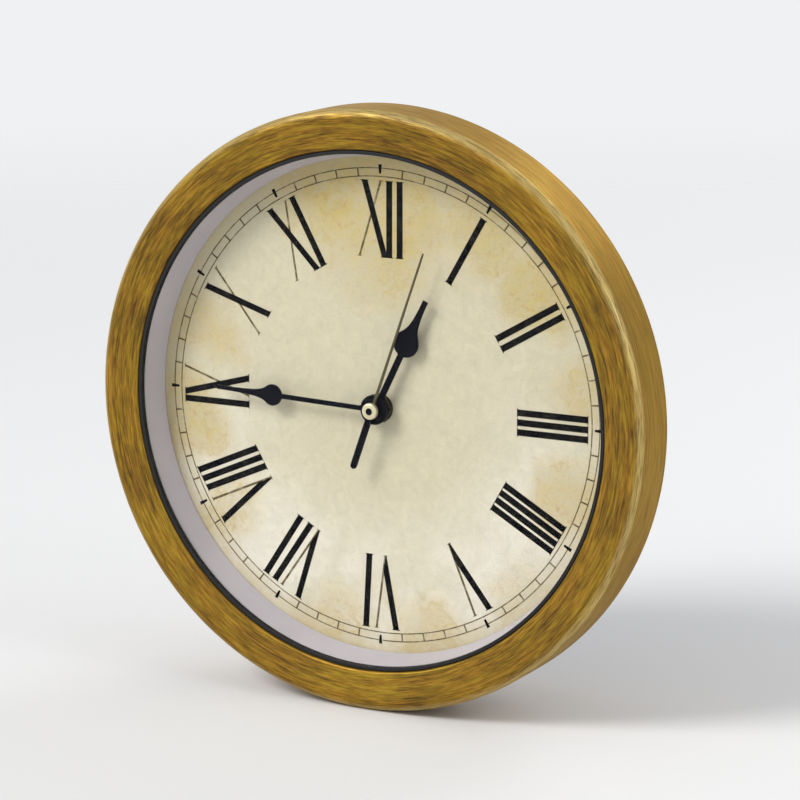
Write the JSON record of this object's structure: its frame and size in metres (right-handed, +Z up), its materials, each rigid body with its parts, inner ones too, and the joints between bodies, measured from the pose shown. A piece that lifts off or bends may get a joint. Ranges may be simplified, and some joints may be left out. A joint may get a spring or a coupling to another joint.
{
  "type": "clock diversion safe",
  "caption": "Round wall clock with Roman numerals whose whole dial door swings open on a hollow case with shelves.",
  "frame": {"origin": "centre of the flat back, on the wall plane", "axes": "X to the right as seen from the front, +Y into the wall, Z up; the dial faces -Y"},
  "size_m": [0.25, 0.07, 0.25],
  "materials": {
    "slate": "moulded, satin",
    "black": "moulded, glossy",
    "band_gold": "brushed antique gold",
    "bezel_gold": "brushed antique gold, streaked",
    "steel": "bright",
    "lens": "clear",
    "rubber": "matt",
    "pale": "smooth, pale lilac grey",
    "parchment": "printed, aged parchment look",
    "brass": "polished",
    "board": "green circuit board",
    "copper": "enamelled copper winding",
    "battery": "printed sleeve, plain",
    "hand_black": "satin black",
    "second_grey": "satin grey",
    "nylon": "moulded, natural",
    "magnet": "sintered"
  },
  "bodies": {
    "case": {"case_pan": "slate", "outer_band": "band_gold", "upper_shelf": "black", "lower_shelf": "black", "keyhole_hanger": "steel", "hanger_screw_1": "steel", "hanger_screw_2": "steel", "case_hinge_leaf": "black", "case_hinge_screw_1": "steel", "case_hinge_screw_2": "steel", "hinge_pin": "steel"},
    "door": {"bezel": "bezel_gold", "lens": "lens", "lens_gasket": "rubber", "reflector_ring": "pale", "dial": "parchment", "door_back": "black", "door_screw_1": "steel", "door_screw_2": "steel", "door_screw_3": "steel", "door_screw_4": "steel", "door_screw_5": "steel", "door_screw_6": "steel", "door_hinge_leaf": "black", "door_hinge_screw_1": "steel", "door_hinge_screw_2": "steel", "movement_front": "black", "movement_cover": "black", "dial_washer": "rubber", "movement_nut": "brass", "circuit_board": "board", "crystal_can": "steel", "stator": "steel", "drive_coil": "copper", "contact_negative": "steel", "contact_positive": "steel"},
    "battery": {"battery": "battery"},
    "hour_hand": {"hour_hand": "hand_black", "hour_wheel": "nylon"},
    "minute_hand": {"minute_hand": "hand_black", "cannon_pinion": "brass"},
    "second_hand": {"second_hand": "second_grey", "hub_cap": "brass", "second_wheel": "nylon"},
    "set_knob": {"set_knob": "nylon", "motion_wheel": "nylon"},
    "step_wheel": {"step_wheel": "nylon"},
    "rotor": {"rotor": "magnet"}
  },
  "joints": [
    {"name": "door_swing", "type": "hinge", "parent": "case", "child": "door", "pos_m": [-0.116, -0.0453, 0], "axis": [0, 0, -1], "range_deg": [0, 100]},
    {"name": "battery_out", "type": "slide", "parent": "door", "child": "battery", "axis": [0, 1, 0], "range_m": [0, 0.018]},
    {"name": "minute_spin", "type": "hinge", "parent": "door", "child": "minute_hand", "pos_m": [0, -0.0576, 0], "axis": [0, 1, 0], "continuous": true},
    {"name": "hour_spin", "type": "hinge", "parent": "door", "child": "hour_hand", "pos_m": [0, -0.0558, 0], "axis": [0, 1, 0], "continuous": true},
    {"name": "knob_spin", "type": "hinge", "parent": "door", "child": "set_knob", "pos_m": [0, -0.0304, 0.01], "axis": [0, 1, 0], "continuous": true},
    {"name": "second_spin", "type": "hinge", "parent": "door", "child": "second_hand", "pos_m": [0, -0.0596, 0], "axis": [0, 1, 0], "continuous": true},
    {"name": "step_spin", "type": "hinge", "parent": "door", "child": "step_wheel", "pos_m": [-0.008, -0.037, 0.00462], "axis": [0, 1, 0], "continuous": true},
    {"name": "rotor_spin", "type": "hinge", "parent": "door", "child": "rotor", "pos_m": [-0.01528, -0.0404, 0.00882], "axis": [0, 1, 0], "continuous": true}
  ],
  "couplings": [
    {"joint": "hour_spin", "follows": "minute_spin", "ratio": 0.083333},
    {"joint": "knob_spin", "follows": "minute_spin", "ratio": -0.33333},
    {"joint": "step_spin", "follows": "second_spin", "ratio": -6},
    {"joint": "rotor_spin", "follows": "second_spin", "ratio": 30}
  ]
}
